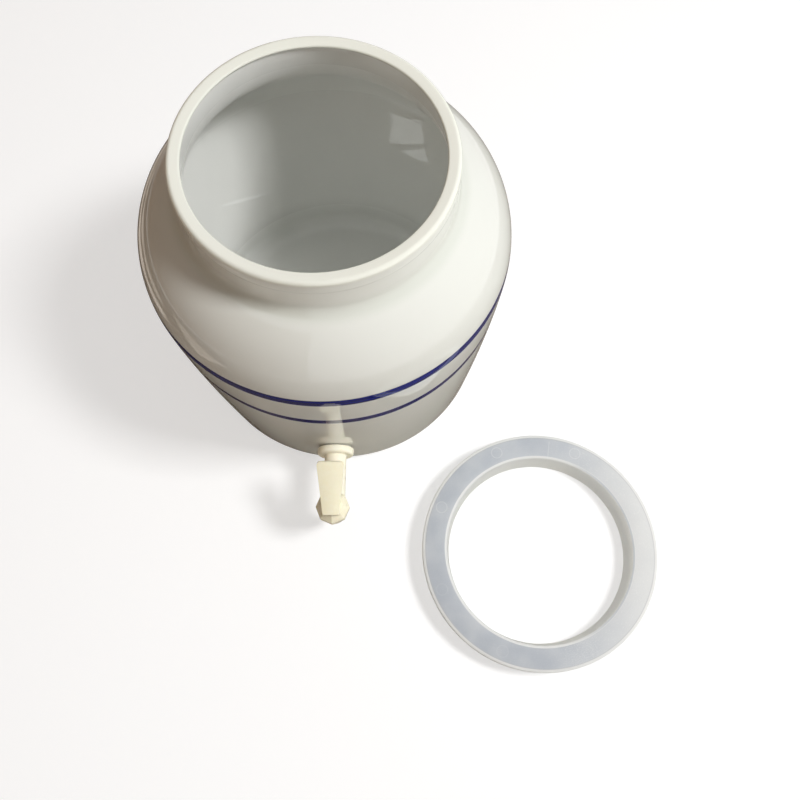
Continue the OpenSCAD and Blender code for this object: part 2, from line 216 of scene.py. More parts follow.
floor_mesh = bpy.data.meshes.new("floor")
floor_mesh.from_pydata([(side_x * GROUND_HALF, side_y * GROUND_HALF, GROUND_Z)
                        for side_x, side_y in ((-1, -1), (1, -1), (1, 1), (-1, 1))], [], [(0, 1, 2, 3)])
floor = bpy.data.objects.new("floor", floor_mesh)
scene.collection.objects.link(floor)
floor_finish, board = start_finish("floor_white")[:2]
board.nodes.clear()
spot, x, y, z, r = object_place(board)
bounce = put(board, "ShaderNodeBsdfDiffuse", {"Color": BOARD_TONE})
paint = put(board, "ShaderNodeBsdfDiffuse", {"Color": PAINT_TONE})
glow = put(board, "ShaderNodeEmission",
           {"Color": (1, 1, 1, 1), "Strength": fade(board, r, 0.9, 3.2, 0.56, 0.86)})
shown = put(board, "ShaderNodeAddShader", {0: paint.outputs[0], 1: glow.outputs[0]})
mixed = put(board, "ShaderNodeMixShader",
            {0: seen_directly(board), 1: bounce.outputs[0], 2: shown.outputs[0]})
put(board, "ShaderNodeOutputMaterial", {"Surface": mixed.outputs[0]})
floor_mesh.materials.append(floor_finish)
print("floor laid")

# %% [markdown]
# ## The room's light
# The background is white for every ray that sees it directly. For matt surfaces it is a dim room: warm and
# dark on the left, neutral on the right, a little lighter overhead, and bright low down at the front right,
# which lights the wall under the shoulder but does not reach down into the mouth. A picture of a room
# would do the same with less control.

# %% Room
WARM_SIDE, PLAIN_SIDE = (0.215, 0.130, 0.062), (0.20, 0.20, 0.20)
LOW_FRONT, OVERHEAD = (1.95, 1.91, 1.84), (0.36, 0.36, 0.36)
FRONT_RIGHT = (0.64, -0.77)

world = bpy.data.worlds.new("sky")
scene.world = world
world.use_nodes = True
board = world.node_tree
board.nodes.clear()
direction = put(board, "ShaderNodeTexCoord").outputs["Generated"]
x, y, z = put(board, "ShaderNodeSeparateXYZ", {0: direction}).outputs
room = blend_colour(board, fade(board, x, -0.55, 0.55), WARM_SIDE, PLAIN_SIDE)
forward = calc(board, "MULTIPLY_ADD", x, FRONT_RIGHT[0], times(board, y, FRONT_RIGHT[1]))
low_front = times(board, fade(board, forward, 0.45, 0.92), fade(board, z, 0.18, 0.06))
room = blend_colour(board, low_front, room, LOW_FRONT)
room = blend_colour(board, fade(board, z, 0.66, 0.94), room, OVERHEAD)
shade = blend_colour(board, seen_directly(board), room, (1.0, 1.0, 1.0))
sky = put(board, "ShaderNodeBackground", {"Color": shade, "Strength": 1.0})
put(board, "ShaderNodeOutputWorld", {"Surface": sky.outputs[0]})
print("room has", len(board.nodes), "nodes")

# %% [markdown]
# ## The key lamp
# One soft lamp comes from the right, 55 degrees up and a little to the front. The rim's shadow falls across
# the inside of the crock, and the lit patch on its left shows how deep it is. A sun lamp would make
# that edge too sharp. The lamp itself is not mirrored, because its square would show on the shoulder.

# %% Key lamp
def lamp(name, azimuth, elevation, distance, size, watts):
    """A square soft lamp that looks at the middle of the crock. Azimuth 0 is on the right."""
    data = bpy.data.lights.new(name, "AREA")
    data.shape = "SQUARE"
    data.size = size
    data.energy = watts
    obj = bpy.data.objects.new(name, data)
    a, e = math.radians(azimuth), math.radians(elevation)
    away = Vector((math.cos(e) * math.cos(a), math.cos(e) * math.sin(a), math.sin(e)))
    obj.location = Vector((0, 0, 0.15)) + away * distance
    obj.rotation_euler = away.to_track_quat("Z", "Y").to_euler()
    scene.collection.objects.link(obj)
    return obj


key = lamp("key_lamp", azimuth=-12.5, elevation=55.0, distance=2.0, size=0.40, watts=32.0)
key.visible_glossy = False
scene.view_settings.view_transform = "Standard"

# %% [markdown]
# ## Cards
# Three cards shape the reflections, as a photographer would use them. The camera sees none of them.
# A tall brown card bends round the left side, so the glaze there turns dark and the round form reads against
# the pale floor. A dull mat on the table is mirrored by the lower wall and keeps the blue bands deep.
# Ragged pale strips and a pale pane on it are painted pools of sunlight that glow a little; they break up its
# reflection on the left.
# Two small bright panes on the inside floor stand for a window that the glossy inner wall mirrors twice.

# %% Card helper and left card
LEFT_CARD_R, LEFT_CARD_H = 0.9, 1.2
LEFT_CARD_START, LEFT_CARD_STEP, LEFT_CARD_FACES = 105, 6.5, 24
LEFT_CARD_TONE = (0.25, 0.165, 0.100)


def add_card(name, corners, faces, colour, mirrored_only=False):
    """A matt card that only the object's surfaces see, or only their mirror rays."""
    mesh = bpy.data.meshes.new(name)
    mesh.from_pydata(corners, [], faces)
    obj = bpy.data.objects.new(name, mesh)
    scene.collection.objects.link(obj)
    finish, board, shader = start_finish(name)
    fill(board, shader, {"Base Color": (*colour, 1), "Roughness": 0.9})
    mesh.materials.append(finish)
    obj.visible_camera = False
    obj.visible_shadow = False
    obj.visible_diffuse = not mirrored_only
    obj.visible_transmission = not mirrored_only
    return obj, board, shader


turns = [math.radians(LEFT_CARD_START + LEFT_CARD_STEP * i) for i in range(LEFT_CARD_FACES + 1)]
corners = [(LEFT_CARD_R * math.cos(t), LEFT_CARD_R * math.sin(t), height)
           for t in turns for height in (0.0, LEFT_CARD_H)]
faces = [(2 * i, 2 * i + 1, 2 * i + 3, 2 * i + 2) for i in range(LEFT_CARD_FACES)]
left_card = add_card("left_card", corners, faces, LEFT_CARD_TONE)[0]
print("card:", left_card.name)

# %% [markdown]
# The mat is one round sheet. Its pale strips and pane are painted pools of sunlight that glow a little, made
# as masks in its finish: each of the pane's four edges cuts the mask away on its outer side, and a noise
# bends all edges a little.

# %% Table mat
MAT_R, MAT_SIDES, MAT_Z = 0.8, 36, -0.0001
MAT_TONE, SUNLIT_TONE = (0.15, 0.125, 0.10), (0.90, 0.83, 0.74)
RAGGED = 0.10
SUNLIT_PANE_CORNERS = ((-0.615, -0.150), (-0.285, -0.172), (-0.294, -0.318), (-0.560, -0.235))

turns = [2 * math.pi * i / MAT_SIDES for i in range(MAT_SIDES)]
corners = [(MAT_R * math.cos(t), MAT_R * math.sin(t), MAT_Z) for t in turns]
table_mat, board, shader = add_card("table_mat", corners, [tuple(range(MAT_SIDES))], MAT_TONE,
                                    mirrored_only=True)
spot, x, y, z, r = object_place(board)
ragged = calc(board, "MULTIPLY_ADD", cloud(board, spot, 9.0, 3.0), RAGGED, x)
sunlit_strips = calc(board, "MAXIMUM", between(board, ragged, -0.335, -0.330, -0.270, -0.265),
              between(board, ragged, -0.480, -0.475, -0.400, -0.395))
sunlit_strips = times(board, sunlit_strips, fade(board, y, -0.09, -0.05))
wavy_x = calc(board, "SUBTRACT", ragged, RAGGED / 2)
sunlit_pane = 1.0
for (ax, ay), (bx, by) in zip(SUNLIT_PANE_CORNERS, SUNLIT_PANE_CORNERS[1:] + SUNLIT_PANE_CORNERS[:1]):
    length = math.hypot(bx - ax, by - ay)
    along, across = (bx - ax) / length, (by - ay) / length
    inward = calc(board, "ADD", calc(board, "MULTIPLY_ADD", wavy_x, across, -across * ax),
                  calc(board, "MULTIPLY_ADD", y, -along, along * ay))
    sunlit_pane = times(board, sunlit_pane, fade(board, inward, 0.0, 0.008))
# Painted light: the strips and pane are sunlit patches, painted pale and made to glow.
sunlit = calc(board, "MAXIMUM", sunlit_strips, sunlit_pane)
fill(board, shader, {"Base Color": blend_colour(board, sunlit, MAT_TONE, SUNLIT_TONE),
                     "Emission Color": (*SUNLIT_TONE, 1), "Emission Strength": times(board, sunlit, 0.35)})
print("card:", table_mat.name)

# %% [markdown]
# The two panes lie just above the inside floor. Only mirror rays see them, so they light nothing.

# %% Window glints
GLINTS = (((-51, 12), (-28.5, 32), (-39, 53), (-57, 43)), ((-25.5, 43), (-21, 56), (-20.5, 63), (-34, 54)))
GLINT_Z = INSIDE_FLOOR + 0.3

corners = [(px * MM, py * MM, GLINT_Z * MM) for quad in GLINTS for px, py in quad]
glints, board, shader = add_card("window_glints", corners, [(0, 1, 2, 3), (4, 5, 6, 7)], (0.8, 0.8, 0.8),
                                 mirrored_only=True)
fill(board, shader, {"Emission Color": (0.97, 1.0, 0.98, 1), "Emission Strength": 1.1})
print("card:", glints.name)

# %% [markdown]
# ## Glaze
# The crock is white stoneware under a clear gloss glaze, with two blue bands painted by brush on a wheel.
# In the cove under the neck the glaze is painted darker and faintly green: partly thick glaze pooled there,
# partly painted shade. The rim is painted lighter and a little warmer than the wall, as painted light on its
# top. The inside is painted whiter than the outside, as painted light inside the crock; it is duller under
# the shoulder, and greyer and duller on the floor. The foot is wiped bare before firing. All of this follows
# height and radius, so the finish reads Object coordinates
# and needs no picture. A line through the middle of the wall tells the inside from the outside.

# %% Glaze: inside and outside
OUTSIDE_TONES = ((0.740, 0.748, 0.702), (0.718, 0.726, 0.680))
LIT_LINER_TONES = ((0.938, 0.947, 0.916), (0.925, 0.934, 0.902))
RIM_LIGHT_TONE, FLOOR_TONE, POOLED_SHADE_TONE = (0.810, 0.819, 0.742), (0.860, 0.870, 0.838), (0.60, 0.625, 0.56)
COVE_R, COVE_Z = 98.5, 251.5

glaze, board, shader = start_finish("glaze")
spot, x, y, z, r = object_place(board)
slow = cloud(board, spot, 7.0, 3.0)

up = calc(board, "DIVIDE", calc(board, "SUBTRACT", z, BELLY_Z * MM), (SHOULDER_H - NECK_WALL / 2) * MM)
up = calc(board, "MINIMUM", calc(board, "MAXIMUM", up, 0.0), 1.0)
down = calc(board, "DIVIDE", calc(board, "SUBTRACT", BELLY_Z * MM, z), (BELLY_Z - HEEL_ROUND) * MM)
down = calc(board, "MAXIMUM", down, 0.0)
turned = calc(board, "SQRT", calc(board, "SUBTRACT", 1.0, times(board, up, up)))
middle = calc(board, "MULTIPLY_ADD", turned, (SHOULDER_W - WALL / 2) * MM, SHOULDER_R * MM)
neck_middle = fade(board, z, 0.258, 0.248, 0.0936, 0.0981)
middle = calc(board, "MULTIPLY_ADD", calc(board, "POWER", down, WALL_BOW), (HEEL_R - BELLY_R) * MM,
              calc(board, "MAXIMUM", middle, neck_middle))
above_foot = calc(board, "GREATER_THAN", z, (INSIDE_FLOOR + FOOT_DEPTH) / 2 * MM)
inner = times(board, calc(board, "LESS_THAN", r, middle), above_foot, fade(board, z, 0.2845, 0.2815))
# The inside floor is greyer and duller, towards the bottom.
dull_grey_floor = times(board, inner, fade(board, z, 0.055, 0.030))

white = blend_colour(board, slow, *OUTSIDE_TONES)
# Painted light: the rim's top is painted lighter than the wall.
white = blend_colour(board, fade(board, z, 0.2815, 0.2850), white, RIM_LIGHT_TONE)
# Painted light: the inside is painted whiter than the outside, so it renders brighter.
lit_liner = blend_colour(board, dull_grey_floor, blend_colour(board, slow, *LIT_LINER_TONES), FLOOR_TONE)
white = blend_colour(board, inner, white, lit_liner)
# The cove is painted darker and green: pooled glaze and painted shade.
pooled_and_shade = times(board, near(board, z, COVE_Z * MM, 0.010, 0.001), near(board, r, COVE_R * MM, 0.009, 0.002),
               calc(board, "SUBTRACT", 1.0, inner))
white = blend_colour(board, times(board, pooled_and_shade, 0.55), white, POOLED_SHADE_TONE)
print("glaze has its inside and outside")

# %% [markdown]
# Iron specks in the clay have burnt a few tiny pits through the glaze. The bands were brushed on while the
# crock turned, so their edges wander a little and their blue runs in streaks round the crock.

# %% Glaze: pits, bands and foot
PIT_TONE = (0.30, 0.24, 0.17)
BLUE_TONES = ((0.0060, 0.0105, 0.120), (0.018, 0.030, 0.230))
CLAY_TONES = ((0.60, 0.53, 0.42), (0.70, 0.64, 0.53))
BANDS = ((0.1919, 0.0094), (0.1467, 0.0091))
BAND_EDGE = 0.00025

pits = put(board, "ShaderNodeTexVoronoi", {"Vector": spot, "Scale": 42.0, "Randomness": 1.0})
drawn_lot = put(board, "ShaderNodeSeparateColor", {0: pits.outputs["Color"]}).outputs[0]
pit = times(board, fade(board, drawn_lot, 0.90, 0.905), fade(board, pits.outputs["Distance"], 0.020, 0.010))
white = blend_colour(board, times(board, pit, 0.6), white, PIT_TONE)

wobble = times(board, calc(board, "SUBTRACT", cloud(board, spot, 16.0, 2.0), 0.5), 0.0011)
wavy_z = calc(board, "ADD", z, wobble)
upper, lower = [near(board, wavy_z, height, width / 2 + BAND_EDGE, width / 2 - BAND_EDGE)
                for height, width in BANDS]
bands = times(board, calc(board, "MAXIMUM", upper, lower), calc(board, "GREATER_THAN", r, 0.1345))
stretched = put(board, "ShaderNodeMapping", {"Vector": spot, "Scale": (9.0, 9.0, 420.0)}).outputs[0]
brush = cloud(board, stretched, 1.0, 3.0, 0.6)
coat = blend_colour(board, bands, white, blend_colour(board, fade(board, brush, 0.35, 0.75), *BLUE_TONES))

bare = fade(board, z, 0.0016, 0.0009)
coat = blend_colour(board, bare, coat, blend_colour(board, cloud(board, spot, 900.0, 3.0), *CLAY_TONES))
print("glaze has", len(BANDS), "bands")

# %% [markdown]
# Fired glaze is nearly a mirror. Long shallow waves from the wheel bend what it mirrors, so a slight relief
# is worth more here than roughness.

# %% Glaze: gloss and waves
gloss = calc(board, "ADD", 0.006, times(board, cloud(board, spot, 30.0, 2.0), 0.014))
under_shoulder = times(board, inner, between(board, z, 0.182, 0.191, 0.262, 0.275))
gloss = calc(board, "MULTIPLY_ADD", under_shoulder, 0.28, gloss)
dull = calc(board, "MAXIMUM", bare, times(board, dull_grey_floor, 0.5))
rough = calc(board, "MULTIPLY_ADD", dull, 0.7, gloss)
fill(board, shader, {"Base Color": coat, "Roughness": rough, "IOR": 1.5})
relief(board, shader, two_clouds(board, spot, (16.0, 1.0, 0.75), (190.0, 1.0, 0.02)), 0.00012)
print("glaze board has", len(board.nodes), "nodes")

# %% [markdown]
# ## A turned form in Geometry Nodes
# The crock and the ring are both turned forms: one section carried round an upright axis.
# A Screw modifier would do it too, but a node tree keeps the number of segments, the centre and the finish
# as named inputs, and the same tree serves both pieces. The section is drawn as a curve: x is the distance
# outside a unit circle, and y runs down, because Curve to Mesh lays a section's y against the circle's axis.
# Points that meet on the axis are merged, so the poles are closed.

# %% Turning tree
def new_tree(name, inputs):
    """A Geometry Nodes tree with named inputs; returns it with its ends and the inputs' identifiers."""
    tree = bpy.data.node_groups.new(name, "GeometryNodeTree")
    tree.interface.new_socket("Geometry", in_out="INPUT", socket_type="NodeSocketGeometry")
    keys = {label: tree.interface.new_socket(label, in_out="INPUT", socket_type=kind).identifier
            for label, kind in inputs.items()}
    tree.interface.new_socket("Geometry", in_out="OUTPUT", socket_type="NodeSocketGeometry")
    return tree, tree.nodes.new("NodeGroupInput").outputs, tree.nodes.new("NodeGroupOutput").inputs, keys


def end_tree(tree, made, finish, end):
    """Every tree ends the same way: instances become real faces and take their finish."""
    real = put(tree, "GeometryNodeRealizeInstances", {"Geometry": made})
    dressed = put(tree, "GeometryNodeSetMaterial", {"Geometry": real.outputs[0], "Material": finish})
    tree.links.new(dressed.outputs[0], end["Geometry"])


turning, given, end, turning_keys = new_tree("turned_form", {
    "Segments": "NodeSocketInt", "Centre": "NodeSocketVector", "Finish": "NodeSocketMaterial"})
circle = put(turning, "GeometryNodeCurvePrimitiveCircle", {"Resolution": given["Segments"], "Radius": 1.0})
swept = put(turning, "GeometryNodeCurveToMesh",
            {"Curve": circle.outputs["Curve"], "Profile Curve": given["Geometry"]})
closed = put(turning, "GeometryNodeMergeByDistance", {"Geometry": swept.outputs[0], "Distance": 1e-5})
smooth = put(turning, "GeometryNodeSetShadeSmooth", {"Geometry": closed.outputs[0]})
placed = put(turning, "GeometryNodeTransform",
             {"Geometry": smooth.outputs[0], "Translation": given["Centre"]})
end_tree(turning, placed.outputs[0], given["Finish"], end)
print("turning tree inputs:", sorted(turning_keys))

# %% [markdown]
# The tap's hole is drilled through the wall after turning, as a potter drills it in the raw clay. A second
# small tree holds the drill, a fine cylinder along the front axis, and takes it away with a Mesh Boolean.

# %% Drilling tree
DRILL_SIDES = 96

drilling, given, end, drilling_keys = new_tree("drilled_hole", {
    "Diameter": "NodeSocketFloat", "Depth": "NodeSocketFloat", "Middle": "NodeSocketVector",
    "Finish": "NodeSocketMaterial"})
half = calc(drilling, "MULTIPLY", given["Diameter"], 0.5)
bit = put(drilling, "GeometryNodeMeshCylinder",
          {"Vertices": DRILL_SIDES, "Radius": half, "Depth": given["Depth"]})
aimed = put(drilling, "GeometryNodeTransform",
            {"Geometry": bit.outputs["Mesh"], "Translation": given["Middle"],
             "Rotation": (math.pi / 2, 0, 0)})
drilled = put(drilling, "GeometryNodeMeshBoolean",
              {"Mesh 1": given["Geometry"], "Mesh 2": aimed.outputs[0]},
              operation="DIFFERENCE", solver="EXACT")
end_tree(drilling, drilled.outputs["Mesh"], given["Finish"], end)
print("drilling tree inputs:", sorted(drilling_keys))

# %% [markdown]
# A tree is hung on a curve as a modifier. Its evaluated result then becomes a plain mesh, the piece itself,
# and the curve is removed. The volume and the open edges are printed, because a piece must be closed.

# %% Tree helpers
def add_tree(obj, tree, keys, **values):
    """Hangs a tree on an object and sets its inputs by their identifiers."""
    modifier = obj.modifiers.new(tree.name, "NODES")
    modifier.node_group = tree
    for label, value in values.items():
        modifier[keys[label]] = value


def settle(obj, name, crease=40):
    """Turns an object's evaluated result into a plain mesh piece, with sharp edges above an angle."""
    mesh = bpy.data.meshes.new_from_object(obj.evaluated_get(bpy.context.evaluated_depsgraph_get()))
    mesh.name = name
    mesh.set_sharp_from_angle(angle=math.radians(crease))
    piece = bpy.data.objects.new(name, mesh)
    scene.collection.objects.link(piece)
    bpy.data.objects.remove(obj)
    shape = bmesh.new()
    shape.from_mesh(mesh)
    print(name, "faces", len(shape.faces), "volume cm3", round(shape.calc_volume(signed=True) * 1e6, 1),
          "open edges", sum(not e.is_manifold for e in shape.edges))
    shape.free()
    return piece


def section_curve(name, points):
    """A section in millimetres as a curve for the turning tree."""
    curve = bpy.data.curves.new(name, "CURVE")
    curve.dimensions = "3D"
    line = curve.splines.new("POLY")
    line.points.add(len(points) - 1)
    for point, (radius, height) in zip(line.points, points):
        point.co = (radius * MM - 1.0, -height * MM, 0, 1)
    obj = bpy.data.objects.new(name, curve)
    scene.collection.objects.link(obj)
    return obj


print("tree helpers ready")

# %% [markdown]
# ## The crock's section
# The wall runs from the middle of the inside floor up to the rim, over it, and down the outside to the foot.
# Its lines are those of the CAD source, with many more points: a bowed wall, a shoulder that is a quarter
# ellipse and a cove into the upright neck. Two things are finer here than in the solid, which needs a plain
# bore: the inside of the neck runs in one smooth curve from the shoulder to the lip, and the rim's top
# slopes a little inward, with a small undercut below its inner edge.

# %% Section helpers
def spread(start, stop, steps):
    """Even values after the start, up to the stop."""
    return [start + (stop - start) * i / steps for i in range(1, steps + 1)]


def arc(cx, cz, radius, start, stop, steps):
    """Points on a circle, from one angle to another in degrees."""
    turns = [math.radians(degrees) for degrees in [start] + spread(start, stop, steps)]
    return [(cx + radius * math.cos(t), cz + radius * math.sin(t)) for t in turns]


def curve_over(first, corner, last, steps):
    """Points of a curve that leaves the first point towards the corner and comes from there to the last."""
    return [tuple((1 - t) ** 2 * a + 2 * t * (1 - t) * b + t * t * c for a, b, c in zip(first, corner, last))
            for t in spread(0, 1, steps)]


def wall_radius(height):
    """Outside radius below the belly."""
    return BELLY_R - (BELLY_R - HEEL_R) * ((BELLY_Z - height) / (BELLY_Z - HEEL_ROUND)) ** WALL_BOW


def shoulder_at(radius, inset=0, drop=0):
    """Height of the shoulder's ellipse at a radius, and its slope in radians."""
    wide, tall = SHOULDER_W - inset, SHOULDER_H - drop
    rise = tall * math.sqrt(1 - ((radius - SHOULDER_R) / wide) ** 2)
    return BELLY_Z + rise, math.atan((tall / wide) ** 2 * (radius - SHOULDER_R) / rise)


def shoulder_line(radius, steps, inset=0, drop=0):
    """Points from the belly over the shoulder to a radius."""
    wide, tall = SHOULDER_W - inset, SHOULDER_H - drop
    sweep = math.acos((radius - SHOULDER_R) / wide)
    return [(SHOULDER_R + wide * math.cos(t), BELLY_Z + tall * math.sin(t)) for t in spread(0, sweep, steps)]


print("wall radius at the tap", round(wall_radius(TAP_Z), 2), "mm")

# %% [markdown]
# The inside and the outside are drawn apart and joined: floor, wall and neck first, then rim, neck and wall.

# %% Crock section
NECK_FOOT_R, NECK_CORNER_R, LIP = 100.5, 91.6, (88.35, 281.4)
COVE_FOOT_R = 102.5

corner_z = INSIDE_FLOOR + INSIDE_ROUND
flat_r = wall_radius(corner_z) - WALL - INSIDE_ROUND
neck_foot_z, lean = shoulder_at(NECK_FOOT_R, WALL, NECK_WALL)
neck_corner = (NECK_CORNER_R, neck_foot_z + (NECK_FOOT_R - NECK_CORNER_R) * math.tan(lean))
inside = [(flat_r * i / 10, INSIDE_FLOOR) for i in range(10)]
inside += arc(flat_r, corner_z, INSIDE_ROUND, -90, 0, 12)
inside += [(wall_radius(h) - WALL, h) for h in spread(corner_z, BELLY_Z, 40)]
inside += shoulder_line(NECK_FOOT_R, 30, WALL, NECK_WALL)
inside += curve_over((NECK_FOOT_R, neck_foot_z), neck_corner, LIP, 24)
inside += [(88.3, 282.3), (87.95, 283.0), (87.4, 283.6)] + arc(88.1, 284.61, 1.4, 205, 99, 10)

rim = [(89.6, 286.26), (91.2, 286.52)] + arc(93.2, 284.0, 2.8, 99, 0, 10)
rim += [(RIM_R, 280), (RIM_R, 276.4), (95.93, 275.4), (95.75, 274.6), (95.58, 273.8)]

cove_foot_z, lean = shoulder_at(COVE_FOOT_R)
bend = (COVE_FOOT_R - NECK_R) / (1 - math.sin(lean))
cove_z = cove_foot_z + bend * math.cos(lean)
outside = [(NECK_R, 272.8), (NECK_R, 266)]
outside += arc(NECK_R + bend, cove_z, bend, 180, 270 - math.degrees(lean), 14)
outside += shoulder_line(COVE_FOOT_R, 36)[-2::-1]
outside += [(wall_radius(h), h) for h in [BELLY_Z] + spread(BELLY_Z, HEEL_ROUND, 48)]
outside += arc(HEEL_R - HEEL_ROUND, HEEL_ROUND, HEEL_ROUND, 0, -90, 12)[1:]

foot_flat = FOOT_R - 0.5
foot = [(112, 0), (FOOT_R + 1, 0), (FOOT_R + 0.3, 0.3), (FOOT_R, 1.0), (FOOT_R, 2.6)]
foot += [(foot_flat, FOOT_DEPTH)]
foot += [(radius, FOOT_DEPTH) for radius in spread(foot_flat, 0, 8)]
crock_section = inside + rim + outside + foot
print("crock section has", len(crock_section), "points")

# %% [markdown]
# The potter's wheel becomes the turning tree. 256 segments leave no facets on the outline at any view.

# %% Turn the crock
CROCK_SEGMENTS, DRILL_DEPTH, DRILL_Y = 256, 40.0, -128.0

blank = section_curve("crock_section", crock_section)
add_tree(blank, turning, turning_keys, Segments=CROCK_SEGMENTS, Centre=(0, 0, 0), Finish=glaze)
add_tree(blank, drilling, drilling_keys, Diameter=TAP_HOLE * MM, Depth=DRILL_DEPTH * MM,
         Middle=(0, DRILL_Y * MM, TAP_Z * MM), Finish=glaze)
crock = settle(blank, "crock")
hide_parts("crock_body")
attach(crock, "crock")

# %% [markdown]
# ## The bottle ring's plastic
# The ring is moulded in milky polyethylene. Light goes into it and comes out again a little way off, so the
# flange looks cool and cloudy. Its rounded edges are painted bright, a painted highlight, and the inner edge
# on the right gets a thin painted shade. The flange is also painted lighter towards its right, as painted
# light where the lamp falls. Subsurface scattering gives the cloudiness, and a translucent share lets the
# floor's light through. Handling has left pale scuffs that run round the ring, so they follow a noise in
# polar coordinates; they are painted stronger on its right, which partly stands in for light falling there.

# %% Ring finish: milk, scuffs and edges
MILK_TONES = ((0.500, 0.540, 0.605), (0.595, 0.628, 0.680))
LIT_TONE, SCUFF_TONE, EDGE_HIGHLIGHT_TONE = (0.90, 0.905, 0.90), (0.96, 0.965, 0.96), (0.96, 0.965, 0.955)
SHADE_TONE, DARK_LINE_TONE = (0.47, 0.51, 0.58), (0.42, 0.44, 0.47)

ring_plastic, board, shader = start_finish("ring_plastic")
spot, x, y, z, r = object_place(board, RING)
around = calc(board, "ARCTAN2", y, x)
polar = put(board, "ShaderNodeCombineXYZ",
            {0: times(board, around, 9.0), 1: times(board, r, 260.0), 2: 0.0}).outputs[0]
haze = two_clouds(board, spot, (14.0, 3.0, 0.5), (55.0, 4.0, 0.5))
scuffs = cloud(board, polar, 4.0, 6.0, 0.7)
# Scuffs, painted stronger towards the right, where they also stand in for light.
scuffs_and_light = times(board, fade(board, scuffs, 0.52, 0.72), fade(board, x, -0.02, 0.10, 0.25, 1.0))
# Painted highlight on both rounded edges, and a thin painted shade on the inner edge at the right.
edges = calc(board, "SUBTRACT", 1.0, between(board, r, 0.0832, 0.0838, 0.0999, 0.1004))
shaded_edge = times(board, near(board, r, 0.0824, 0.0011, 0.0005), fade(board, x, 0.02, 0.06))
# A thin darker line on the top, just inside the outer edge.
dark_line = near(board, r, 0.1002, 0.0006, 0.0002)

milk = blend_colour(board, fade(board, haze, 0.38, 0.62), *MILK_TONES)
# Painted light: the flange is painted lighter towards its right, where the lamp falls.
milk = blend_colour(board, fade(board, x, 0.01, 0.105, 0.0, 0.76), milk, LIT_TONE)
for mask, share, tone in ((scuffs_and_light, 0.75, SCUFF_TONE), (edges, 0.85, EDGE_HIGHLIGHT_TONE),
                          (shaded_edge, 0.8, SHADE_TONE), (dark_line, 0.5, DARK_LINE_TONE)):
    milk = blend_colour(board, times(board, mask, share), milk, tone)
print("ring board has", len(board.nodes), "nodes so far")

# %% [markdown]
# The mould has left its marks on the flange: thin circles where round pins pushed the ring out, clearer at
# the back, one flow line where two streams of plastic met, and smeared streaks at the front.

# %% Ring finish: mould marks
MARK_TONE, SMEAR_TONE = (0.92, 0.935, 0.95), (0.90, 0.92, 0.93)
PIN_PLACE_R, PIN_R = 0.093, 0.0048
CLEAR_PINS, FAINT_PINS = (67, 112, 157), (22, 202, 247, 292, 337)
FLOW_LINE_DEG, SMEAR_DEG = 82, -71


def pin_mark(degrees):
    """A thin raised circle on the flange, where a pin pushed the ring out of its mould."""
    turn = math.radians(degrees)
    dx = calc(board, "SUBTRACT", x, PIN_PLACE_R * math.cos(turn))
    dy = calc(board, "SUBTRACT", y, PIN_PLACE_R * math.sin(turn))
    off = calc(board, "SQRT", calc(board, "ADD", times(board, dx, dx), times(board, dy, dy)))
    return near(board, off, PIN_R, 0.0007, 0.0002)


off_line = calc(board, "ABSOLUTE", calc(board, "SUBTRACT", around, math.radians(FLOW_LINE_DEG)))
marks = times(board, fade(board, times(board, off_line, r), 0.0006, 0.0002), fade(board, r, 0.0985, 0.0975))
for pins, strength in ((CLEAR_PINS, 1.0), (FAINT_PINS, 0.35)):
    for degrees in pins:
        marks = calc(board, "MAXIMUM", marks, times(board, pin_mark(degrees), strength))
smear = times(board, near(board, around, math.radians(SMEAR_DEG), 0.24, 0.12),
              fade(board, cloud(board, polar, 9.0, 4.0, 0.6), 0.50, 0.62))
milk = blend_colour(board, times(board, smear, 0.45), milk, SMEAR_TONE)
milk = blend_colour(board, times(board, marks, 0.36), milk, MARK_TONE)
print("pin marks:", len(CLEAR_PINS) + len(FAINT_PINS))

# %% [markdown]
# The shader gets the colour, a soft shine, its scattering and a slight relief. A mix with a translucent
# shader ends the board, with a larger share on the thin collar than on the flange.

# %% Ring finish: shine and glow
GLOW_TONE = (0.90, 0.90, 0.87, 1)

fill(board, shader, {"Base Color": milk, "Roughness": fade(board, haze, 0.3, 0.7, 0.30, 0.46), "IOR": 1.5,
                     "Subsurface Weight": 0.5, "Subsurface Radius": (1.0, 1.0, 1.0),
                     "Subsurface Scale": 0.006})
raised = calc(board, "ADD", times(board, scuffs, 0.3), times(board, marks, 0.3))
raised = calc(board, "MULTIPLY_ADD", cloud(board, spot, 60.0, 2.0), 0.6, raised)
relief(board, shader, raised, 0.0003)
glow = put(board, "ShaderNodeBsdfTranslucent", {"Color": GLOW_TONE})
body = put(board, "ShaderNodeMixShader",
           {0: fade(board, r, 0.0815, 0.0822, 0.58, 0.32), 1: shader.outputs[0], 2: glow.outputs[0]})
board.links.new(body.outputs[0], board.nodes["Material Output"].inputs["Surface"])
print("ring board has", len(board.nodes), "nodes")

# %% [markdown]
# ## The ring's section
# A slightly tapered collar hangs from a flat flange with a short lip round its edge. All edges are rounded,
# because a moulded ring has no sharp ones. The same turning tree carries the section round the ring's axis.

# %% Turn the ring
COLLAR_OUT, COLLAR_IN, COLLAR_TAPER = 81.4, 81.0, 2.2
FLANGE_ROUND, UNDER_ROUND, LIP_ROUND = 1.5, 0.8, 0.6
LIP_FOOT = 17.1
RING_SEGMENTS = 224

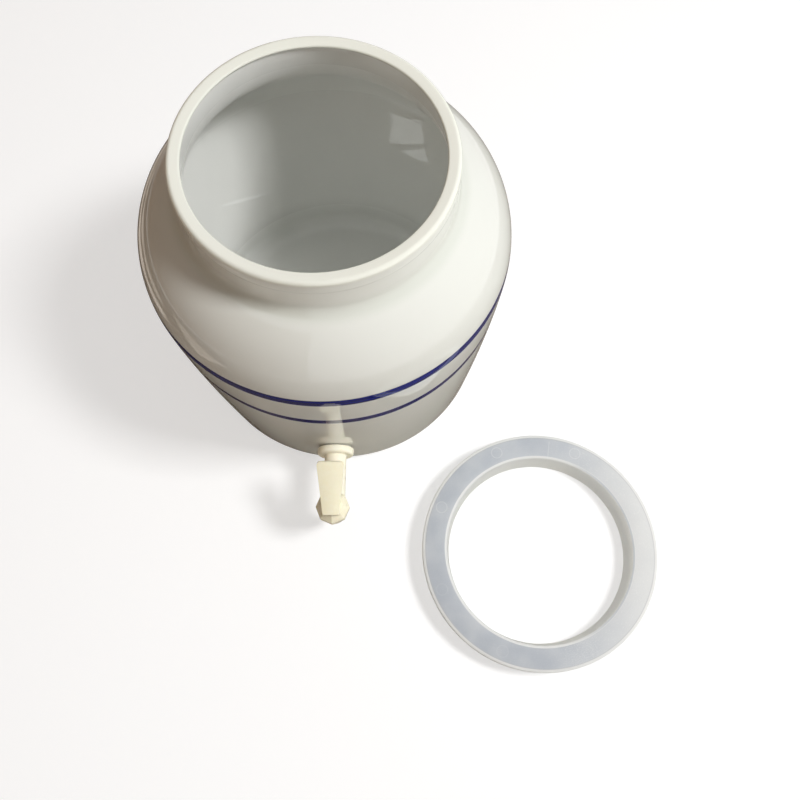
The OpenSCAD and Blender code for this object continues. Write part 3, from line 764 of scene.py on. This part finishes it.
eighths = [i / 8 for i in range(1, 8)]
collar_outside = [(81.1, 0.0), (81.45, 0.35)]
collar_outside += [(COLLAR_OUT + COLLAR_TAPER * e, RING_UNDER * e) for e in eighths]
collar_inside = [(COLLAR_IN - COLLAR_TAPER * e, RING_UNDER * (1 - e)) for e in eighths]
collar_inside += [(78.75, 0.35), (79.1, 0.0)]
under_z, top_z = RING_UNDER - UNDER_ROUND, RING_TOP - FLANGE_ROUND
channel = arc(84.4, under_z, UNDER_ROUND, 180, 90, 5) + [(92, RING_UNDER), (99.6, RING_UNDER)]
channel += arc(99.6, under_z, UNDER_ROUND, 90, 0, 5)
lip = [(100.4, 17.2)] + arc(101.0, LIP_FOOT, LIP_ROUND, 180, 270, 4)
lip += arc(102.4, LIP_FOOT, LIP_ROUND, 270, 360, 4)
flange = arc(RING_R - FLANGE_ROUND, top_z, FLANGE_ROUND, 0, 90, 10) + [(96, RING_TOP), (90, RING_TOP)]
flange += arc(82.5, top_z, FLANGE_ROUND, 90, 180, 10)
ring_section = (collar_outside + channel + lip + flange + collar_inside)[::-1]
ring_section.append(ring_section[0])
blank = section_curve("ring_section", ring_section)
add_tree(blank, turning, turning_keys, Segments=RING_SEGMENTS, Centre=RING, Finish=ring_plastic)
bottle_ring = settle(blank, "ring", 50)
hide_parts("bottle_ring")
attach(bottle_ring, "bottle_ring")

# %% [markdown]
# ## Cream plastic
# The tap is injection moulded in a cream plastic. It is not quite opaque, so thin edges glow a little, and
# its skin has a faint ripple and slow changes of tone. The lever, the bonnet and the nut are the same plastic
# from other moulds, so one function makes all four finishes.

# %% Cream finishes
def cream_finish(name, light, deep, shine):
    """A moulded cream plastic between two tones, with a given roughness."""
    finish, board, shader = start_finish(name)
    spot = object_place(board)[0]
    tone = two_clouds(board, spot, (45.0, 3.0, 0.5), (320.0, 3.0, 0.5))
    skin = fade(board, cloud(board, spot, 160.0, 3.0), 0.3, 0.7, shine - 0.06, shine + 0.06)
    fill(board, shader, {"Base Color": blend_colour(board, fade(board, tone, 0.38, 0.62), light, deep),
                         "Roughness": skin, "IOR": 1.49, "Subsurface Weight": 0.12,
                         "Subsurface Radius": (1.0, 0.75, 0.4), "Subsurface Scale": 0.003})
    relief(board, shader, two_clouds(board, spot, (90.0, 2.0, 0.8), (1500.0, 1.0, 0.03)), 0.00016)
    return finish


tap_plastic = cream_finish("tap_plastic", (0.965, 0.925, 0.775), (0.945, 0.895, 0.725), 0.32)
bonnet_plastic = cream_finish("bonnet_plastic", (0.955, 0.905, 0.710), (0.935, 0.875, 0.665), 0.30)
lever_plastic = cream_finish("lever_plastic", (0.985, 0.935, 0.725), (0.970, 0.910, 0.685), 0.36)
nut_plastic = cream_finish("nut_plastic", (0.800, 0.745, 0.600), (0.765, 0.705, 0.555), 0.42)
print("cream finishes:", tap_plastic.name, bonnet_plastic.name, lever_plastic.name, nut_plastic.name)

# %% [markdown]
# ## Softened mouldings
# The CAD solids of the tap have the right shape but knife edges, and real mouldings have none: light catches
# on small rounds. A copy of each solid is merged and cleaned, then a Bevel modifier rounds its sharp edges
# and hardens the normals, so that flat faces stay flat. Modelling the tap again would only risk its fits.

# %% Softened copies
def softened(node, name, round_mm, finish, body):
    """A copy of a CAD solid with rounded edges, riding on its body, or left unattached if that is None."""
    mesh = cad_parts[node].data.copy()
    mesh.materials.clear()
    mesh.materials.append(finish)
    shape = bmesh.new()
    shape.from_mesh(mesh)
    bmesh.ops.remove_doubles(shape, verts=shape.verts, dist=2e-6)
    bmesh.ops.dissolve_limit(shape, angle_limit=math.radians(0.4), verts=shape.verts, edges=shape.edges)
    for face in shape.faces:
        face.smooth = True
        face.material_index = 0
    shape.to_mesh(mesh)
    shape.free()
    blank = bpy.data.objects.new(name, mesh)
    scene.collection.objects.link(blank)
    rounding = blank.modifiers.new("rounded_edges", "BEVEL")
    rounding.width = round_mm * MM
    rounding.segments = 3
    rounding.limit_method = "ANGLE"
    rounding.angle_limit = math.radians(28)
    rounding.use_clamp_overlap = True
    rounding.harden_normals = True
    piece = settle(blank, name, 60)
    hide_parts(node)
    if body:
        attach(piece, body)
    return piece


tap = softened("tap_body", "tap", 0.25, tap_plastic, "crock")
cap = softened("bonnet", "tap_bonnet", 0.35, bonnet_plastic, "crock")
handle = softened("lever", "tap_lever", 0.35, lever_plastic, "lever")
nut = softened("shank_nut", "tap_nut", 0.4, nut_plastic, "crock")

# %% [markdown]
# ## Seat cup
# The cup is a bell of milky silicone, valve plug and spring in one. When the lever is lifted, its plug rises
# with the stem, its rim stays clamped under the bonnet, and the sleeve between them gives way. So the cup
# rides on no single body, and here it is left unattached to any. Its edges are softened like those of the
# other mouldings.

# %% Seat cup
CUP_TONES = ((0.72, 0.71, 0.66), (0.80, 0.79, 0.75))

cup_silicone, board, shader = start_finish("cup_silicone")
spot = object_place(board)[0]
haze = cloud(board, spot, 260.0, 3.0)
fill(board, shader, {"Base Color": blend_colour(board, haze, *CUP_TONES),
                     "Roughness": fade(board, haze, 0.3, 0.7, 0.38, 0.52), "Subsurface Weight": 0.5,
                     "Subsurface Radius": (1.0, 0.95, 0.85), "Subsurface Scale": 0.003})
relief(board, shader, haze, 0.00006)
cup = softened("seat_cup", "tap_seat_cup", 0.2, cup_silicone, None)
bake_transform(cup)

# %% [markdown]
# ## Washers, stem and pin
# These pieces are small or hidden, and their CAD shapes are right as they are, so the nodes stay and only
# get finishes: soft rubber with a dusty grain, a pale slippery plastic with turning rings, and a drawn steel
# pin with fine lines along it.

# %% Finishes for the small pieces
RUBBER_TONES = ((0.52, 0.50, 0.44), (0.62, 0.60, 0.53))
STEM_TONES = ((0.78, 0.77, 0.72), (0.84, 0.83, 0.79))
STEEL_TONES = ((0.50, 0.51, 0.52), (0.66, 0.66, 0.67))


def dress(node, finish):
    """Gives a CAD node a finish in all its slots."""
    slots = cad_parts[node].data.materials
    slots.clear()
    slots.append(finish)


washer_rubber, board, shader = start_finish("washer_rubber")
grain = cloud(board, object_place(board)[0], 1400.0, 3.0)
fill(board, shader, {"Base Color": blend_colour(board, grain, *RUBBER_TONES),
                     "Roughness": fade(board, grain, 0.3, 0.7, 0.55, 0.75)})
relief(board, shader, grain, 0.00008)
dress("outer_washer", washer_rubber)
dress("inner_washer", washer_rubber)

stem_plastic, board, shader = start_finish("stem_plastic")
spot = object_place(board, (0, BARREL_Y * MM, 0))[0]
rings = put(board, "ShaderNodeTexWave", {"Vector": spot, "Scale": 420.0, "Distortion": 1.5, "Detail": 2.0},
            wave_type="BANDS", bands_direction="Z").outputs["Fac"]
fill(board, shader, {"Base Color": blend_colour(board, cloud(board, spot, 300.0, 2.0), *STEM_TONES),
                     "Roughness": fade(board, rings, 0.0, 1.0, 0.26, 0.38)})
relief(board, shader, rings, 0.00002)
dress("valve_stem", stem_plastic)

pin_steel, board, shader = start_finish("pin_steel")
drawn = put(board, "ShaderNodeMapping",
            {"Vector": object_place(board)[0], "Scale": (40.0, 2600.0, 2600.0)}).outputs[0]
lines = cloud(board, drawn, 1.0, 4.0, 0.6)
fill(board, shader, {"Base Color": blend_colour(board, lines, *STEEL_TONES), "Metallic": 1.0,
                     "Roughness": fade(board, lines, 0.3, 0.7, 0.22, 0.40)})
relief(board, shader, lines, 0.00002)
dress("lever_pin", pin_steel)
print("dressed:", [finish.name for finish in (washer_rubber, stem_plastic, pin_steel)])
